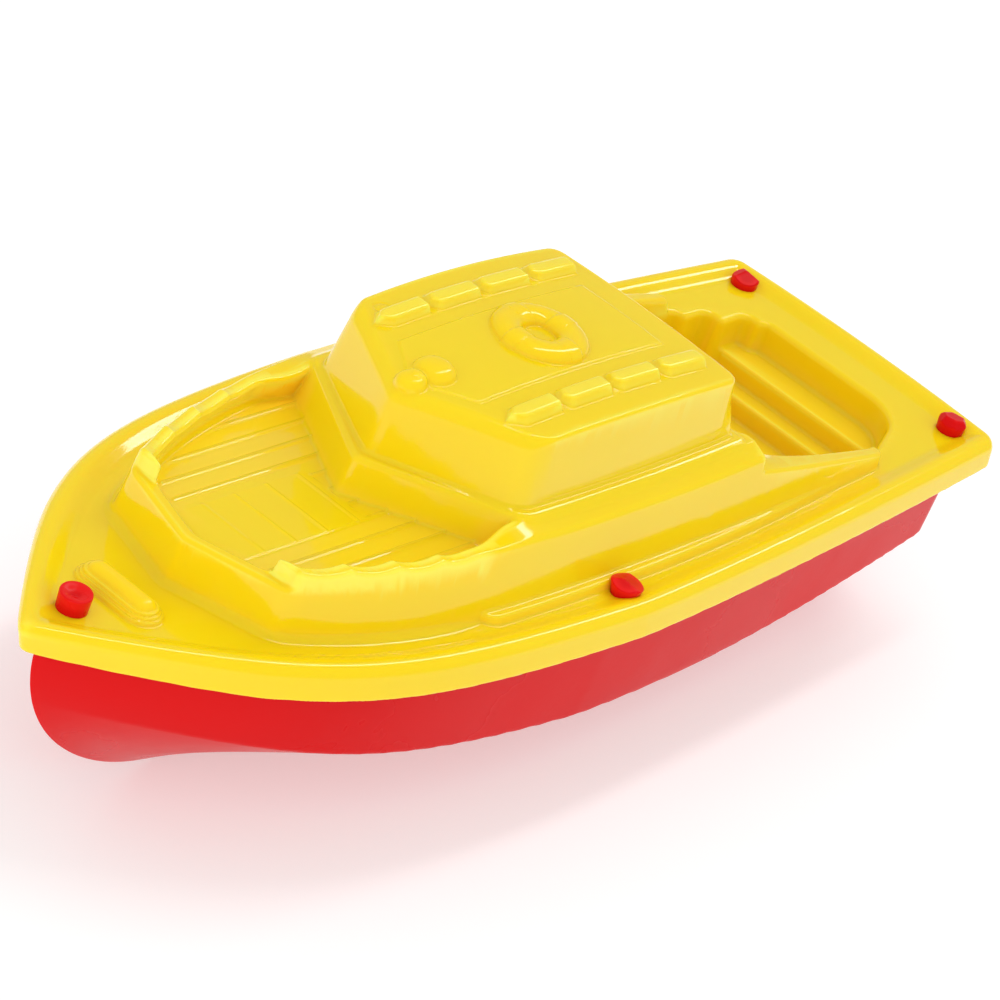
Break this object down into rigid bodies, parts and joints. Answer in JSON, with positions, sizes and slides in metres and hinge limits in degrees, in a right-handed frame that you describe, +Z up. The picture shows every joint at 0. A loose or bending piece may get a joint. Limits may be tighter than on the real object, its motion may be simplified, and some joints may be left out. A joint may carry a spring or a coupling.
{
  "type": "toy boat",
  "caption": "Moulded toy motor boat: a deck with cabin, foredeck bulwarks and open cockpit, staked over the flange of a V-bottomed hull.",
  "frame": {"origin": "middle of the length, on the centre line, on the underside of the keel", "axes": "+X towards the bow, +Y to port, +Z up"},
  "size_m": [0.167, 0.0612, 0.0507],
  "materials": {
    "deck_plastic": "glossy, slightly translucent yellow",
    "hull_plastic": "semi-gloss, slightly translucent red"
  },
  "bodies": {
    "root": {"deck_shell": "deck_plastic", "hull_shell": "hull_plastic"}
  },
  "joints": []
}
